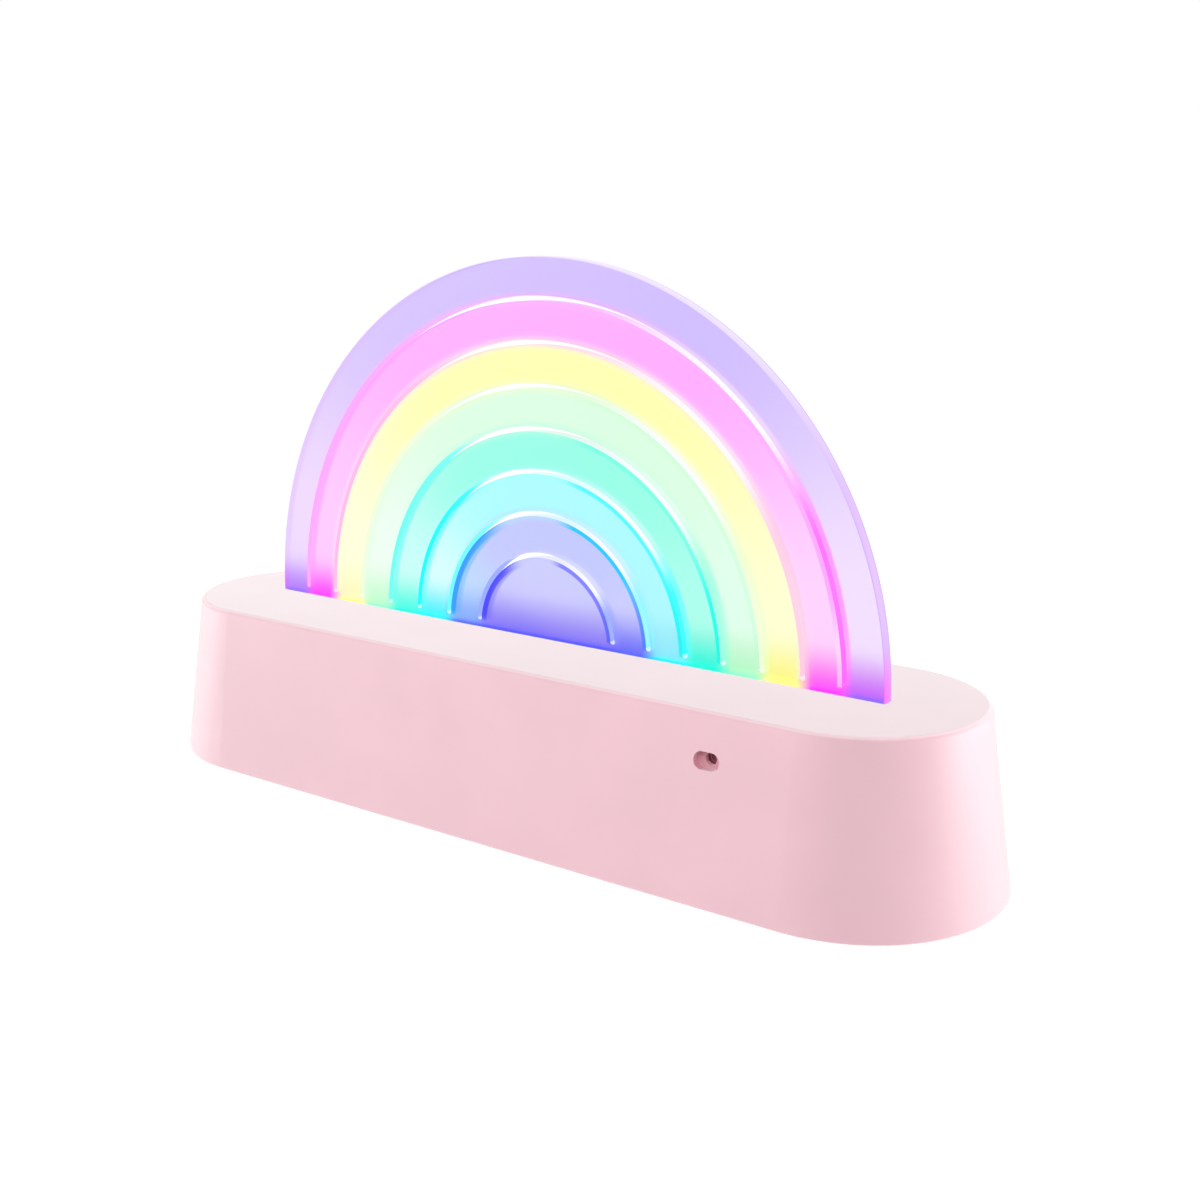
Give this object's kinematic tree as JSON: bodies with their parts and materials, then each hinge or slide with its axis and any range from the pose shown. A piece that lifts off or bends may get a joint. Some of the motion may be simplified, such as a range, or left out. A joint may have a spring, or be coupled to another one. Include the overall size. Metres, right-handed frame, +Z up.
{
  "type": "rainbow table lamp",
  "caption": "Table lamp with a clear half-disc light guide, cut by curved slots into glowing rainbow bands, in a long round-ended base with a sound port and a battery bay.",
  "frame": {"origin": "on the table, under the middle of the base", "axes": "+X along the base, to the right seen from the front; -Y is the front, with the sound port; +Z up"},
  "size_m": [0.2592, 0.0738, 0.1468],
  "materials": {
    "shell_plastic": "satin moulded ABS, pale pink",
    "cover_plastic": "fine spark-eroded ABS, pale pink",
    "light_guide": "clear cast acrylic, lit from its lower edge",
    "holder_plastic": "opaque white moulded plastic",
    "foot_rubber": "dark grey rubber",
    "screw_steel": "zinc plated",
    "led_board_laminate": "white solder mask",
    "led_package": "white package with a clear lens",
    "cell_jacket": "printed shrink jacket, no text",
    "contact_nickel": "nickel plated spring steel",
    "board_laminate": "green solder mask",
    "chip_epoxy": "black moulding compound",
    "can_aluminium": "bare can",
    "header_nylon": "natural nylon",
    "port_steel": "rolled steel",
    "knob_plastic": "dark grey acetal",
    "boot_rubber": "black silicone",
    "red_insulation": "PVC",
    "black_insulation": "PVC",
    "white_insulation": "PVC",
    "grey_insulation": "PVC"
  },
  "bodies": {
    "root": {"base_shell": "shell_plastic", "bottom_cover": "cover_plastic", "rubber_feet": "foot_rubber", "cover_screws": "screw_steel", "rainbow_plate": "light_guide", "plate_holder": "holder_plastic", "holder_screws": "screw_steel", "led_board": "led_board_laminate", "led_board_screws": "screw_steel", "leds": "led_package", "battery_cells": "cell_jacket", "contact_plates": "contact_nickel", "contact_springs": "contact_nickel", "control_board": "board_laminate", "control_board_screws": "screw_steel", "control_chip": "chip_epoxy", "capacitors": "can_aluminium", "chip_resistors": "chip_epoxy", "wire_headers": "header_nylon", "usb_socket": "port_steel", "switch_body": "port_steel", "microphone": "can_aluminium", "mic_boot": "boot_rubber", "battery_lead_red": "red_insulation", "battery_lead_black": "black_insulation", "led_lead": "white_insulation", "mic_lead": "grey_insulation"},
    "battery_door_leaf": {"battery_door": "cover_plastic", "door_screw": "screw_steel"},
    "mode_knob": {"switch_knob": "knob_plastic"}
  },
  "joints": [
    {"name": "battery_door_swing", "type": "hinge", "parent": "root", "child": "battery_door_leaf", "pos_m": [-0.06325, 0, 0.0018], "axis": [0, 1, 0], "range_deg": [0, 50]},
    {"name": "mode_switch_slide", "type": "slide", "parent": "root", "child": "mode_knob", "axis": [1, 0, 0], "range_m": [-0.002, 0.002]}
  ]
}
